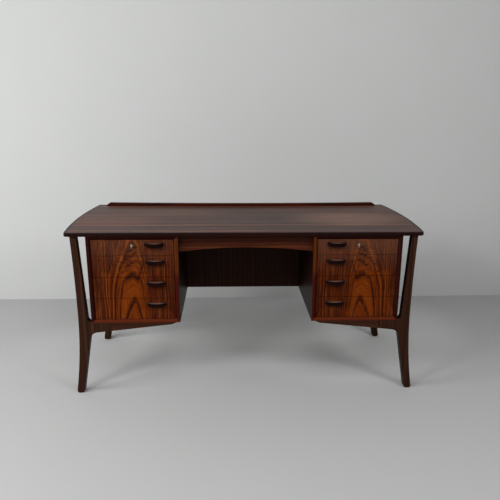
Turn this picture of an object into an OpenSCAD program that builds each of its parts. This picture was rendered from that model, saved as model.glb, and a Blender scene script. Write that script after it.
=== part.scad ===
// Executive desk: two drawer pedestals under a bowed top, carried on four sculpted Y legs.
// Millimetres. X runs to the user's right, Y to the back and Z up. The origin is on the floor,
// in the middle of the desk's width and of its whole depth.

/* [Top] */
// Height of the writing surface above the floor
writing_h = 720; // [690:1:780]
// Thickness of the top
top_t = 16; // [12:0.5:30]
// Width of the top across its front corners
top_front_w = 1496; // [1480:1:1700]
// Width of the top across its rear corners
top_rear_w = 1472; // [1460:1:1680]
// Depth of the top at its rear corners
top_d = 724; // [712:1:850]
// Radius of the bowed ends
end_r = 2906; // [2000:10:6000]
// Depth of the hollow in the rear edge
rear_dip = 32; // [10:1:34]
// Radius of the front corners
corner_r = 18; // [14:1:30]
// Width of the solid lippings
lip_w = 12; // [8:0.5:13]
// Radius of the lippings' arrises
lip_r = 3; // [1:0.5:5]

/* [Back rail] */
// Height of the back rail above the writing surface
back_rail_h = 14; // [8:1:40]
// Thickness of the back rail
back_rail_t = 24; // [15:1:35]
// Length of the back rail at its foot
back_rail_w = 1396; // [1200:1:1400]
// Length by which each end of the back rail slopes in
back_rail_slope = 20; // [5:1:60]
// Radius of the back rail's upper arrises
back_rail_r = 3; // [1:0.5:6]
// Width of the rear lipping that shows in front of the back rail
rear_lip_show = 2; // [0.5:0.5:6]

/* [Pedestal cases] */
// Width of each case
case_w = 378; // [372:1:390]
// Distance of the cases' outer faces inside the top's front corners
end_overhang = 86; // [75:1:110]
// Height of the cases' underside above the floor
case_z = 327; // [300:1:345]
// Distance of the cases' front edges behind the top's front edge
case_setback = 8; // [4:1:30]
// Distance of the cases' rear edges in front of the top's rear corners
case_rear_gap = 29; // [28:1:60]
// Thickness of the case sides
side_t = 17; // [14:0.5:22]
// Thickness of the case tops and bottoms
board_t = 14; // [12:0.5:20]
// Thickness of the case backs
back_t = 9; // [4:0.5:15]
// Width of the bevel on the sides' front edges
bevel_w = 7; // [2:0.5:10]
// Depth of the bevel on the front edges
bevel_d = 7; // [5:0.5:12]

/* [Drawers] */
// Thickness of the drawer fronts
front_t = 18; // [15:0.5:22]
// Distance of the drawer fronts behind the cases' front edges
front_inset = 5; // [0:0.5:10]
// Gap round each drawer front
front_gap = 1.8; // [1:0.1:3]
// Height of the three lower drawer fronts
low_front_h = 91; // [80:0.5:93]
// Thickness of the drawer sides
lining_t = 14; // [12:0.5:18]
// Thickness of the drawer backs
box_back_t = 12; // [8:0.5:18]
// Length of the drawer sides
box_d = 560; // [400:5:610]
// Gap between a drawer side and the case side
box_gap = 2; // [1:0.1:3]
// Distance of the drawer sides' upper edges below the front's
box_drop = 10; // [5:0.5:15]
// Distance of the drawer sides' lower edges above the front's
box_rise = 8; // [4:0.5:12]
// Thickness of the drawer bottoms
bottom_t = 5; // [3:0.5:8]
// Height of the drawer bottoms above the sides' lower edges
bottom_rise = 6; // [4:0.5:8]
// Depth of the grooves that hold the drawer bottoms
bottom_groove = 5; // [3:0.5:6]

/* [Drawer runners] */
// Height of the runners
runner_h = 14; // [8:0.5:16]
// Distance by which the runners stand out from the case sides
runner_out = 8; // [5:0.5:8.5]
// Length of the runners
runner_l = 540; // [300:5:590]
// Gap between a runner and what it carries or stops
runner_gap = 0.3; // [0.1:0.1:0.5]
// Gap under a runner and at the bottom of its groove
runner_room = 1; // [0.5:0.1:2]

/* [Pulls] */
// Length of the pulls
pull_w = 78; // [50:1:120]
// Height of the pulls
pull_h = 20; // [16:0.5:26]
// Distance by which the pulls stand out from the fronts
pull_out = 20; // [18:0.5:28]
// Distance of the pulls' centres from the case centre, towards the kneehole
pull_shift = 92; // [70:1:110]
// Distance of the top pull's centre below the front's upper edge
pull_drop_top = 20; // [18:0.5:30]
// Distance of the lower pulls' centres below the front's upper edge
pull_drop_low = 25; // [20:0.5:45]
// Radius of the finger trough behind the rim
trough_r = 8; // [6:0.5:8]
// Thickness of the rim
rim_t = 3; // [2:0.5:4]
// Depth of the dip in the rim
rim_dip = 4; // [1:0.5:6]
// Width of the flat left at each end of the rim
rim_end = 4; // [2:0.5:10]
// Radius of the pulls' lower front edge
pull_r = 6; // [2:0.5:7]

/* [Locks] */
// Distance of the locks' axes below the upper edge of the top drawer fronts
lock_drop = 23; // [20:0.5:26]
// Width of the lock cases
lock_w = 44; // [36:1:60]
// Thickness of the lock cases
lock_t = 10; // [9.5:0.5:11]
// Distance of the lock cases' lower edges below the axis
lock_foot = 16; // [15:0.5:20]
// Wall of the lock cases
lock_wall = 3; // [2.5:0.5:3]
// Radius of the lock barrels
barrel_r = 8; // [7.5:0.1:10]
// Distance by which barrels and plugs stand out from the fronts
barrel_out = 1.5; // [0.5:0.1:3]
// Radius of the plugs
plug_r = 4.5; // [4:0.1:6]
// Running clearance of the plugs, on the radius
plug_clear = 0.05; // [0.02:0.01:0.1]
// Radius of the cam disc behind each plug
cam_r = 6.7; // [6.5:0.1:7]
// Thickness of the cam disc
cam_t = 0.9; // [0.6:0.1:1]
// Radius at which the cam pin goes round
crank_r = 5; // [4.5:0.1:5]
// Radius of the cam pin
cam_pin_r = 1.5; // [1:0.1:1.5]
// Width of the bolts
bolt_w = 16; // [15.6:0.1:18]
// Thickness of the bolts
bolt_t = 3; // [2:0.1:3]
// Distance of the bolts' lower ends below the lock axis
bolt_foot = 12; // [8:0.5:12]
// Clearance of the bolts in the lock cases
bolt_clear = 0.3; // [0.2:0.05:0.5]
// Depth of the bolt mortises in the case tops
mortise_d = 10; // [8:0.5:10]
// Room round a bolt in its mortise
mortise_room = 2; // [1:0.5:3]
// Length of the keys' stems in front of the plugs
key_stem = 5; // [3:0.5:12]
// Radius of the keys' stems
key_stem_r = 2.5; // [2:0.1:3]
// Radius of the keys' bows
bow_r = 11; // [8:0.5:14]
// Radius of the hole in the bows
bow_hole_r = 4.5; // [2:0.5:6]
// Thickness of the bows
bow_t = 2.2; // [1.5:0.1:3]

/* [Apron and bookcase] */
// Distance of the apron behind the cases' front edges
apron_setback = 25; // [10:1:60]
// Thickness of the apron
apron_t = 18; // [12:0.5:24]
// Height of the apron at its ends
apron_h = 72; // [55:1:90]
// Rise of the apron's arch
arch_rise = 19; // [5:1:30]
// Distance of the kneehole panel behind the top's front edge
panel_y = 530; // [450:1:560]
// Thickness of the kneehole panel
panel_t = 16; // [12:0.5:22]
// Height of the kneehole panel's lower edge above the cases' underside
panel_rise = 3; // [0:1:20]
// Thickness of the bookcase's boards
shelf_t = 16; // [12:0.5:25]
// Height of the shelf's underside above the bookcase's bottom board
shelf_z = 165; // [100:1:220]
// Distance of the bookcase's boards in front of the cases' rear edges
shelf_setback = 8; // [6:1:30]
// Play of the loose shelf at each end
shelf_play = 0.5; // [0.3:0.1:2]
// Radius of the shelf pins
pin_r = 2.5; // [2:0.1:4]
// Length of the pins outside their holes
pin_out = 9; // [5:0.5:15]
// Length of the pins inside their holes
pin_in = 8; // [5:0.5:10]
// Distance of the pins from the shelf's long edges
pin_inset = 25; // [10:1:50]

/* [Legs] */
// Thickness of the legs and rails
leg_t = 38; // [30:0.5:45]
// Distance of the legs' waists outside the cases
waist_gap = 55.5; // [50:0.5:60]
// Height of the legs' waists above the cases' underside
waist_rise = 33; // [25:1:40]
// Radius of the legs' outer edge below the waist
low_r = 2060; // [1800:10:3000]
// Radius of the legs' outer edge above the waist
high_r = 7260; // [6000:10:12000]
// Width of the arms at their upper ends
arm_w = 25.8; // [20:0.1:30]
// Lean of the arms' inner edges, in degrees
arm_lean = 3.25; // [2.5:0.05:4]
// Radius at the foot of the slot between arm and case
slot_r = 20; // [17:0.5:28]
// Height of that slot's floor above the cases' underside
slot_rise = 1; // [0.5:0.5:20]
// Width of the feet
foot_w = 31.5; // [29:0.5:45]
// Radius of the feet's lower edges
foot_r = 11; // [4:0.5:12]
// Lean of the lower legs' inner edges, in degrees
shin_lean = 9.9; // [9:0.1:11]
// Radius between the lower legs and the rails
crotch_r = 36; // [15:0.5:45]

/* [Rails] */
// Distance of the rails' inner ends from the cases' inner faces
rail_in = 16; // [5:1:60]
// Length of the slanted inner ends
rail_slant = 21; // [5:1:40]
// Height of the rails at the slanted ends
rail_tip_h = 9; // [5:0.5:12]
// Slope of the rails' undersides, in degrees
rail_slope = 6.15; // [5:0.05:7]
// Length of the rail that is one piece with each leg, from the case's outer face inwards
stub_l = 82; // [75:1:120]
// Length of the tenons between rails and legs
tenon_l = 30; // [15:1:32]
// Height of the tenons
tenon_h = 18; // [10:0.5:20]
// Thickness of the tenons
tenon_t = 14; // [10:0.5:20]

/* [Screws] */
// Radius of the screws that hold the cases on the rails
screw_r = 2.25; // [1.5:0.05:3]
// Radius of the screw heads
screw_head_r = 4.5; // [3.5:0.1:6]
// Height of the screw heads
screw_head_h = 3.5; // [2:0.1:4]
// Height of the wood between a screw head and the case
screw_grip = 8; // [6:0.5:8]
// Depth to which the screws enter the case bottoms
screw_in = 10; // [6:0.5:11]
// Clearance round the screws and their heads in the rails
screw_clear = 0.2; // [0.05:0.05:0.5]
// Distance of the inner screws from the rails' inner ends
screw_inner = 70; // [55:1:90]
// Distance between the two screws of a rail
screw_pitch = 130; // [80:1:150]
// Distance of the legs' screws from the cases' outer faces
screw_outer = 30; // [24:1:45]

/* [Hidden] */
SIDES = [-1, 1];
TIERS = [1, 2, 3, 4];
LEFT_RIGHT = ["left", "right"];
function side_name(s) = LEFT_RIGHT[(s + 1) / 2];
function drawer_name(s, i, piece) = str(side_name(s), "_drawer_", i, "_", piece);

// Facets of small and of very large circles
fine = 96;
huge = 2048;
// Overshoot of cuts
cut = 1;
// Angle of the cam pin at rest, a little more than half a quarter turn below level
cam_rest = -50;

// Places along X
half_front = top_front_w / 2;
half_rear = top_rear_w / 2;
case_out_x = half_front - end_overhang;
case_in_x = case_out_x - case_w;
case_mid_x = (case_in_x + case_out_x) / 2;
kneehole_w = 2 * case_in_x;
bay_w = case_w - 2 * side_t;

// Places along Y: the key's reach in front of the top sets where the middle of the depth is
bow_seat = 1;
key_reach = barrel_out + key_stem - bow_seat + 2 * bow_r;
front_reach = key_reach - case_setback - front_inset;
front_y = -(top_d - front_reach) / 2;
rear_y = front_y + top_d;
case_front_y = front_y + case_setback;
case_rear_y = rear_y - case_rear_gap;
case_d = case_rear_y - case_front_y;
face_y = case_front_y + front_inset;
lining_y = face_y + front_t;
lock_y = lining_y - lock_t;
bolt_y = lock_y + lock_wall + cam_t + 0.5;

// Places along Z
top_z = writing_h - top_t;
case_h = top_z - case_z;
bay_z = case_z + board_t;
bay_h = case_h - 2 * board_t;
top_front_h = bay_h - 5 * front_gap - 3 * low_front_h;
function front_h(i) = i == 1 ? top_front_h : low_front_h;
function front_z(i) = bay_z + front_gap + (4 - i) * (low_front_h + front_gap);
function box_h(i) = front_h(i) - box_drop - box_rise;
function box_z(i) = front_z(i) + box_rise;
function runner_z(i) = box_z(i) + (box_h(i) - runner_h) / 2;
function pull_z(i) = front_z(i) + front_h(i) - (i == 1 ? pull_drop_top : pull_drop_low);
lock_top_z = front_z(1) + front_h(1);
lock_z = lock_top_z - lock_drop;

// Circle through the front and rear corner of the right end
end_chord = norm([half_front - half_rear, top_d]);
end_reach = sqrt(end_r * end_r - end_chord * end_chord / 4);
end_x = (half_front + half_rear) / 2 - end_reach * top_d / end_chord;
end_y = front_y + top_d / 2 - end_reach * (half_front - half_rear) / end_chord;
// Circle of the hollow rear edge
hollow_r = (half_rear * half_rear + rear_dip * rear_dip) / (2 * rear_dip);
hollow_y = rear_y - rear_dip + hollow_r;
// Centre of the rounded front corner, and the angle at which it meets the bowed end
corner_y = front_y + corner_r;
corner_x = end_x + sqrt(pow(end_r - corner_r, 2) - pow(corner_y - end_y, 2));
corner_a = atan2(corner_y - end_y, corner_x - end_x);
// Angle that reaches past the rear corner, seen from the bowed end's centre
end_a = asin((rear_y - end_y) / end_r) + 1;
// Angle of the rear corner, seen from the hollow's centre
hollow_a = asin(half_rear / hollow_r);
// The back rail stands on the rear lipping
rear_lip_w = back_rail_t + rear_lip_show;

// Leg outline, for the right side
waist_x = case_out_x + waist_gap;
waist_z = case_z + waist_rise;
arm_x = waist_x + high_r - sqrt(high_r * high_r - pow(top_z - waist_z, 2)) - arm_w;
slot_z = case_z + slot_rise + slot_r;
slot_x = arm_x - (top_z - slot_z) * tan(arm_lean) - slot_r / cos(arm_lean);
shin_x = waist_x + low_r - sqrt(low_r * low_r - waist_z * waist_z) - foot_w;
heel_x = shin_x - foot_r * tan(shin_lean) + foot_r / cos(shin_lean);
toe_x = waist_x + low_r - sqrt(pow(low_r + foot_r, 2) - pow(waist_z - foot_r, 2));
toe_a = atan2(waist_z - foot_r, waist_x + low_r - toe_x);
rail_in_x = case_in_x + rail_in;
rail_tip_x = rail_in_x + rail_slant;
stub_x = case_out_x - stub_l;
function rail_under(x) = case_z - rail_tip_h - (x - rail_tip_x) * tan(rail_slope);
crotch_top = rail_under(0) - crotch_r / cos(rail_slope);
crotch_side = shin_x - crotch_r / cos(shin_lean);
crotch_z = (crotch_top - crotch_side * tan(rail_slope)) / (1 - tan(rail_slope) * tan(shin_lean));
crotch_x = crotch_side - crotch_z * tan(shin_lean);
tenon_z = (case_z + rail_under(stub_x) - tenon_h) / 2;
LEG_Y = [case_front_y, case_rear_y - leg_t];
SCREW_X = [rail_in_x + screw_inner, rail_in_x + screw_inner + screw_pitch, case_out_x - screw_outer];

// Bookcase
shelf_y = front_y + panel_y + panel_t;
shelf_d = case_rear_y - shelf_setback - shelf_y;
shelf_bottom_z = case_z + panel_rise;
shelf_under_z = shelf_bottom_z + shelf_t + shelf_z;
PIN_Y = [shelf_y + pin_inset, shelf_y + shelf_d - pin_inset];

// Colours
DARK = "#3a2219";
VENEER = "#7a4526";
FRONT = "#8a4a22";
RED = "#8c4430";
LINING = "#c9a878";
METAL = "#b9b6ae";

module on_side(s) {
    if (s < 0) mirror([1, 0, 0]) children();
    else children();
}

// Extrudes a profile drawn in X and Z along Y, from y
module along_y(y, l) {
    translate([0, y + l, 0]) rotate([90, 0, 0]) linear_extrude(l) children();
}

// Cross section of a lipping: u runs outwards from 0 to w
module lip_profile(w) {
    translate([w - lip_r, lip_r]) circle(lip_r, $fn = fine);
    translate([w - lip_r, top_t - lip_r]) circle(lip_r, $fn = fine);
    translate([w - lip_r - cut, lip_r]) square([lip_r + cut, top_t - 2 * lip_r]);
    square([w - lip_r, top_t]);
}

// Area inside the lippings of the front and of the two bowed ends
module inside_lippings() {
    intersection() {
        translate([end_x, end_y]) circle(end_r - lip_w, $fn = huge);
        translate([-end_x, end_y]) circle(end_r - lip_w, $fn = huge);
        translate([-top_front_w, front_y + lip_w]) square([2 * top_front_w, top_d]);
    }
}

// Circle of the hollow rear edge, turned so that coarse facets too would end near its corners
module hollow_disc(r) {
    translate([0, hollow_y]) rotate(180 / 256) circle(r, $fn = huge);
}

module top_outline() {
    difference() {
        inside_lippings();
        hollow_disc(hollow_r + rear_lip_w);
    }
}

module top_board() {
    color(VENEER) translate([0, 0, top_z]) linear_extrude(top_t) top_outline();
}

module top_front_lipping() {
    color(DARK) translate([-corner_x, front_y + lip_w, top_z]) rotate([90, 0, 90])
        linear_extrude(2 * corner_x) mirror([1, 0]) lip_profile(lip_w);
}

// Runs round the front corner and along the bowed end
module top_end_lipping(s) {
    color(DARK) on_side(s) difference() {
        union() {
            translate([end_x, end_y, top_z]) rotate([0, 0, corner_a])
                rotate_extrude(angle = end_a - corner_a, $fn = huge)
                    translate([end_r - corner_r, 0]) lip_profile(corner_r);
            translate([corner_x, corner_y, top_z]) rotate([0, 0, -90])
                rotate_extrude(angle = 90 + corner_a, $fn = fine) lip_profile(corner_r);
        }
        translate([0, 0, top_z - cut]) linear_extrude(top_t + 2 * cut) {
            inside_lippings();
            hollow_disc(hollow_r);
        }
    }
}

module top_rear_lipping() {
    color(DARK) intersection() {
        translate([0, hollow_y, top_z]) rotate([0, 0, -90 - hollow_a])
            rotate_extrude(angle = 2 * hollow_a, $fn = huge)
                translate([hollow_r + rear_lip_w, 0]) mirror([1, 0]) lip_profile(rear_lip_w);
        translate([0, 0, top_z - cut]) linear_extrude(top_t + 2 * cut) inside_lippings();
    }
}

module back_rail_profile() {
    t = back_rail_t;
    r = back_rail_r;
    translate([r, back_rail_h - r]) circle(r, $fn = fine);
    translate([t - r, back_rail_h - r]) circle(r, $fn = fine);
    translate([r, 0]) square([t - 2 * r, back_rail_h]);
    square([t, back_rail_h - r]);
}

// Follows the hollow rear edge, with sloping ends
module back_rail() {
    foot = back_rail_w / 2;
    head = foot - back_rail_slope;
    color(RED) intersection() {
        translate([0, hollow_y, writing_h]) rotate([0, 0, -90 - hollow_a])
            rotate_extrude(angle = 2 * hollow_a, $fn = huge)
                translate([hollow_r, 0]) back_rail_profile();
        along_y(front_y, top_d + cut) translate([0, writing_h])
            polygon([[-foot, 0], [foot, 0], [head, back_rail_h], [-head, back_rail_h]]);
    }
}

// Board of a case: seen end-on its front edge is bevelled on the inner side
module board_section(t) {
    b = bevel_w * t / side_t;
    polygon([[0, 0], [t - b, 0], [t, bevel_d], [t, case_d], [0, case_d]]);
}

// Side board with mitred ends, outer face at x = 0 and inner face at x = side_t
module case_side_board() {
    intersection() {
        linear_extrude(case_h) board_section(side_t);
        along_y(0, case_d)
            polygon([[0, 0], [side_t, board_t], [side_t, case_h - board_t], [0, case_h]]);
    }
}

// Top or bottom board with mitred ends, outer face at z = 0 and inner face at z = board_t
module case_flat_board() {
    intersection() {
        rotate([0, 90, 0]) linear_extrude(case_w)
            mirror([1, 0]) board_section(board_t);
        along_y(0, case_d)
            polygon([[0, 0], [case_w, 0], [case_w - side_t, board_t], [side_t, board_t]]);
    }
}

module case_outer_side(s) {
    color(VENEER) on_side(s) translate([case_out_x, case_front_y, case_z]) mirror([1, 0, 0])
        case_side_board();
}

module pin_places() {
    for (y = PIN_Y) translate([case_in_x, y, shelf_under_z - pin_r]) children();
}

module case_inner_side(s) {
    color(VENEER) on_side(s) difference() {
        translate([case_in_x, case_front_y, case_z]) case_side_board();
        pin_places() rotate([0, 90, 0]) cylinder(pin_in, pin_r, pin_r, $fn = fine);
    }
}

module case_top(s) {
    color(VENEER) difference() {
        on_side(s) translate([case_in_x, case_front_y, top_z]) mirror([0, 0, 1])
            case_flat_board();
        translate([s * case_mid_x - bolt_w / 2 - mortise_room, bolt_y - mortise_room,
            bay_z + bay_h - cut])
            cube([bolt_w + 2 * mortise_room, bolt_t + 2 * mortise_room, mortise_d + cut]);
    }
}

module case_bottom(s) {
    color(VENEER) on_side(s) difference() {
        translate([case_in_x, case_front_y, case_z]) case_flat_board();
        screw_places() cylinder(2 * screw_in, screw_r, screw_r, center = true, $fn = fine);
    }
}

module case_back(s) {
    color(VENEER) on_side(s) translate([case_in_x + side_t, case_rear_y - back_t, bay_z])
        cube([bay_w, back_t, bay_h]);
}

module drawer_runners() {
    color(LINING) for (s = SIDES, i = TIERS) on_side(s)
        for (x = [case_in_x + side_t, case_out_x - side_t - runner_out])
            translate([x, lining_y + runner_gap, runner_z(i)])
                cube([runner_out, runner_l, runner_h]);
}

// The top drawers' fronts are cut for their locks
module drawer_front(s, i) {
    color(FRONT) difference() {
        on_side(s) difference() {
            translate([case_in_x + side_t + front_gap, face_y, front_z(i)])
                cube([bay_w - 2 * front_gap, front_t, front_h(i)]);
            translate([bottom_x(), lining_y - bottom_groove, box_z(i) + bottom_rise])
                cube([bottom_w(), bottom_groove + cut, bottom_t]);
        }
        if (i == 1) translate([s * case_mid_x, 0, 0]) {
            translate([-lock_w / 2, lock_y, lock_z - lock_foot])
                cube([lock_w, lock_t + cut, lock_foot + lock_drop + cut]);
            lock_cylinder(face_y - cut, lock_y + cut, barrel_r);
        }
    }
}

function box_x() = case_in_x + side_t + box_gap;
function box_w() = bay_w - 2 * box_gap;
function bottom_x() = box_x() + lining_t - bottom_groove;
function bottom_w() = box_w() - 2 * (lining_t - bottom_groove);

// One drawer side, with the groove for its runner at x = 0 and the groove for the bottom inside
module drawer_side(i) {
    groove_z = runner_z(i) - runner_room - box_z(i);
    groove_h = runner_h + runner_room + runner_gap;
    groove_d = runner_out - box_gap + runner_room;
    difference() {
        cube([lining_t, box_d, box_h(i)]);
        translate([-cut, -cut, groove_z]) cube([groove_d + cut, box_d + 2 * cut, groove_h]);
        translate([lining_t - bottom_groove, -cut, bottom_rise])
            cube([bottom_groove + cut, box_d + 2 * cut, bottom_t]);
    }
}

module drawer_box(s, i) {
    back_z = bottom_rise + bottom_t;
    color(LINING) on_side(s) translate([0, 0, box_z(i)]) {
        translate([box_x(), lining_y, 0]) drawer_side(i);
        translate([box_x() + box_w(), lining_y, 0]) mirror([1, 0, 0]) drawer_side(i);
        translate([box_x() + lining_t, lining_y + box_d - box_back_t, back_z])
            cube([box_w() - 2 * lining_t, box_back_t, box_h(i) - back_z]);
        translate([bottom_x(), lining_y - bottom_groove, bottom_rise])
            cube([bottom_w(), box_d + bottom_groove, bottom_t]);
    }
}

// End view of a pull: y runs out from the drawer front, z up from the lower edge
module pull_section() {
    difference() {
        union() {
            translate([pull_out - pull_r, pull_r]) circle(pull_r, $fn = fine);
            translate([0, pull_r]) square([pull_out, pull_h - pull_r]);
            square([pull_out - pull_r, pull_h]);
        }
        translate([pull_out - rim_t - trough_r, pull_h]) circle(trough_r, $fn = fine);
    }
}

// Carved lip pull with a finger trough and a rim that dips between its square ends
module drawer_pull(s, i) {
    half = pull_w / 2 - rim_end;
    dip_r = (half * half + rim_dip * rim_dip) / (2 * rim_dip);
    color(DARK) on_side(s) translate([case_mid_x - pull_shift, face_y, pull_z(i) - pull_h / 2])
        difference() {
            translate([-pull_w / 2, 0, 0]) rotate([90, 0, 90]) linear_extrude(pull_w)
                mirror([1, 0]) pull_section();
            translate([0, cut, pull_h - rim_dip + dip_r]) rotate([90, 0, 0])
                cylinder(pull_out + 2 * cut, dip_r, dip_r, $fn = 360);
        }
}

// Cylinder about a lock's axis, from one y to another
module lock_cylinder(y0, y1, r) {
    translate([0, y1, lock_z]) rotate([90, 0, 0]) cylinder(y1 - y0, r, r, $fn = fine);
}

module lock_case(s) {
    bolt_hole_w = bolt_w + 2 * bolt_clear;
    room_y = lock_y + lock_wall;
    room_d = bolt_y + bolt_t + 2 * bolt_clear - room_y;
    color(METAL) translate([s * case_mid_x, 0, 0]) difference() {
        union() {
            translate([-lock_w / 2, lock_y, lock_z - lock_foot])
                cube([lock_w, lock_t, lock_foot + lock_drop]);
            lock_cylinder(face_y - barrel_out, lock_y + cut, barrel_r);
        }
        lock_cylinder(face_y - barrel_out - cut, room_y + cut, plug_r + plug_clear);
        translate([-bolt_hole_w / 2, room_y, lock_z - bolt_foot - bolt_clear])
            cube([bolt_hole_w, room_d, bolt_foot + bolt_clear + lock_drop - lock_wall]);
        translate([-bolt_hole_w / 2, bolt_y - bolt_clear, lock_z])
            cube([bolt_hole_w, bolt_t + 2 * bolt_clear, lock_drop + cut]);
    }
}

// Plug with its cam disc and pin, and the key in it
module key(s) {
    plug_y = face_y - barrel_out;
    cam_y = lock_y + lock_wall + plug_clear;
    pin_y = cam_y + cam_t;
    bow_y = plug_y - key_stem + bow_seat - bow_r;
    color(METAL) translate([s * case_mid_x, 0, 0]) {
        lock_cylinder(plug_y, cam_y + cut / 2, plug_r);
        lock_cylinder(cam_y, pin_y, cam_r);
        translate([crank_r * cos(cam_rest), 0, crank_r * sin(cam_rest)])
            lock_cylinder(pin_y - cut / 2, bolt_y + bolt_t + bolt_clear, cam_pin_r);
        lock_cylinder(plug_y - key_stem, plug_y + cut / 2, key_stem_r);
        translate([-bow_t / 2, bow_y, lock_z]) rotate([0, 90, 0]) difference() {
            cylinder(bow_t, bow_r, bow_r, $fn = fine);
            translate([0, 0, -cut]) cylinder(bow_t + 2 * cut, bow_hole_r, bow_hole_r, $fn = fine);
        }
    }
}

// Bolt plate with the slot in which the cam pin lifts it
module lock_bolt(s) {
    pin_room = cam_pin_r + bolt_clear;
    slot_in = crank_r * cos(cam_rest) - pin_room;
    slot_out = crank_r + pin_room;
    color(METAL) translate([s * case_mid_x, bolt_y, lock_z]) difference() {
        translate([-bolt_w / 2, 0, -bolt_foot])
            cube([bolt_w, bolt_t, bolt_foot + lock_drop - bolt_clear]);
        translate([slot_in, -cut, crank_r * sin(cam_rest) - pin_room])
            cube([slot_out - slot_in, bolt_t + 2 * cut, 2 * pin_room]);
    }
}

module apron() {
    arch_r = (case_in_x * case_in_x + arch_rise * arch_rise) / (2 * arch_rise);
    color(VENEER) along_y(case_front_y + apron_setback, apron_t) difference() {
        translate([-case_in_x, top_z - apron_h]) square([kneehole_w, apron_h]);
        translate([0, top_z - apron_h + arch_rise - arch_r]) circle(arch_r, $fn = huge);
    }
}

module kneehole_panel() {
    color(DARK) translate([-case_in_x, front_y + panel_y, shelf_bottom_z])
        cube([kneehole_w, panel_t, top_z - shelf_bottom_z]);
}

module bookcase_bottom() {
    color(VENEER) translate([-case_in_x, shelf_y, shelf_bottom_z])
        cube([kneehole_w, shelf_d, shelf_t]);
}

module bookcase_shelf() {
    color(VENEER) translate([shelf_play - case_in_x, shelf_y + shelf_play, shelf_under_z])
        cube([kneehole_w - 2 * shelf_play, shelf_d - shelf_play, shelf_t]);
}

module shelf_pins() {
    color(METAL) for (s = SIDES) on_side(s) pin_places() translate([-pin_out, 0, 0])
        rotate([0, 90, 0]) cylinder(pin_out + pin_in, pin_r, pin_r, $fn = fine);
}

// Everything outside the legs' curved outer edge: one arc above the waist and one below it
module outside_leg() {
    intersection() {
        translate([waist_x + low_r, waist_z]) circle(low_r, $fn = huge);
        translate([waist_x, -cut]) square([low_r, waist_z + cut]);
    }
    intersection() {
        translate([waist_x + high_r, waist_z]) circle(high_r, $fn = huge);
        translate([waist_x, waist_z]) square([high_r, top_z]);
    }
}

// Face of a Y leg: arm, waist, lower leg and the stub of the rail
module leg_face() {
    low = case_out_x;
    far = waist_x + foot_w + arm_w;
    difference() {
        polygon([
            [arm_x, top_z],
            [slot_x + slot_r * cos(arm_lean), slot_z - slot_r * sin(arm_lean)],
            [slot_x, slot_z],
            [slot_x, case_z],
            [stub_x, case_z],
            [stub_x, rail_under(stub_x)],
            [crotch_x + crotch_r * sin(rail_slope), crotch_z + crotch_r * cos(rail_slope)],
            [crotch_x, crotch_z],
            [crotch_x + crotch_r * cos(shin_lean), crotch_z + crotch_r * sin(shin_lean)],
            [heel_x - foot_r * cos(shin_lean), foot_r - foot_r * sin(shin_lean)],
            [heel_x, 0],
            [toe_x, 0],
            [toe_x + foot_r * cos(toe_a), foot_r + foot_r * sin(toe_a)],
            [far, foot_r + foot_r * sin(toe_a)],
            [far, top_z]
        ]);
        translate([slot_x, slot_z]) circle(slot_r, $fn = fine);
        translate([crotch_x, crotch_z]) circle(crotch_r, $fn = fine);
        translate([slot_x - cut, case_z]) square([low - slot_x + cut, case_h]);
        outside_leg();
    }
    translate([heel_x, foot_r]) circle(foot_r, $fn = fine);
    translate([toe_x, foot_r]) circle(foot_r, $fn = fine);
}

module tenon(y) {
    translate([stub_x, y + (leg_t - tenon_t) / 2, tenon_z]) cube([tenon_l, tenon_t, tenon_h]);
}

module screw_places() {
    for (x = SCREW_X, y = LEG_Y) translate([x, y + leg_t / 2, case_z]) children();
}

// Hole and counterbore for a screw, below the case
module screw_cut() {
    translate([0, 0, -screw_grip - cut])
        cylinder(screw_grip + 2 * cut, screw_r + screw_clear, screw_r + screw_clear, $fn = fine);
    translate([0, 0, -case_z / 2])
        cylinder(case_z / 2 - screw_grip, screw_head_r + screw_clear, screw_head_r + screw_clear,
            $fn = fine);
}

module leg(s, y) {
    color(DARK) on_side(s) difference() {
        along_y(y, leg_t) leg_face();
        tenon(y);
        screw_places() screw_cut();
    }
}

module rails(s) {
    color(DARK) on_side(s) difference() {
        for (y = LEG_Y) {
            along_y(y, leg_t) polygon([
                [rail_in_x, case_z],
                [rail_tip_x, case_z - rail_tip_h],
                [stub_x, rail_under(stub_x)],
                [stub_x, case_z]
            ]);
            tenon(y);
        }
        screw_places() screw_cut();
    }
}

module rail_screws() {
    color(METAL) for (s = SIDES) on_side(s) screw_places() {
        translate([0, 0, -screw_grip])
            cylinder(screw_grip + screw_in, screw_r, screw_r, $fn = fine);
        translate([0, 0, -screw_grip - screw_head_h])
            cylinder(screw_head_h, screw_head_r, screw_head_r, $fn = fine);
    }
}

top_board();
top_front_lipping();
top_rear_lipping();
back_rail();
drawer_runners();
apron();
kneehole_panel();
bookcase_bottom();
bookcase_shelf();
shelf_pins();
rail_screws();
for (s = SIDES) {
    name = side_name(s);
    top_end_lipping(s);
    case_outer_side(s);
    case_inner_side(s);
    case_top(s);
    case_bottom(s);
    case_back(s);
    lock_case(s);
    key(s);
    lock_bolt(s);
    rails(s);
    leg(s, LEG_Y[0]);
    leg(s, LEG_Y[1]);
    for (i = TIERS) {
        drawer_front(s, i);
        drawer_box(s, i);
        drawer_pull(s, i);
    }
}
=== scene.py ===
"""Looks of an executive desk in rosewood: veneers, solid parts, locks, light and camera."""

import math

import bmesh
import bpy
from mathutils import Matrix, Vector


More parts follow.
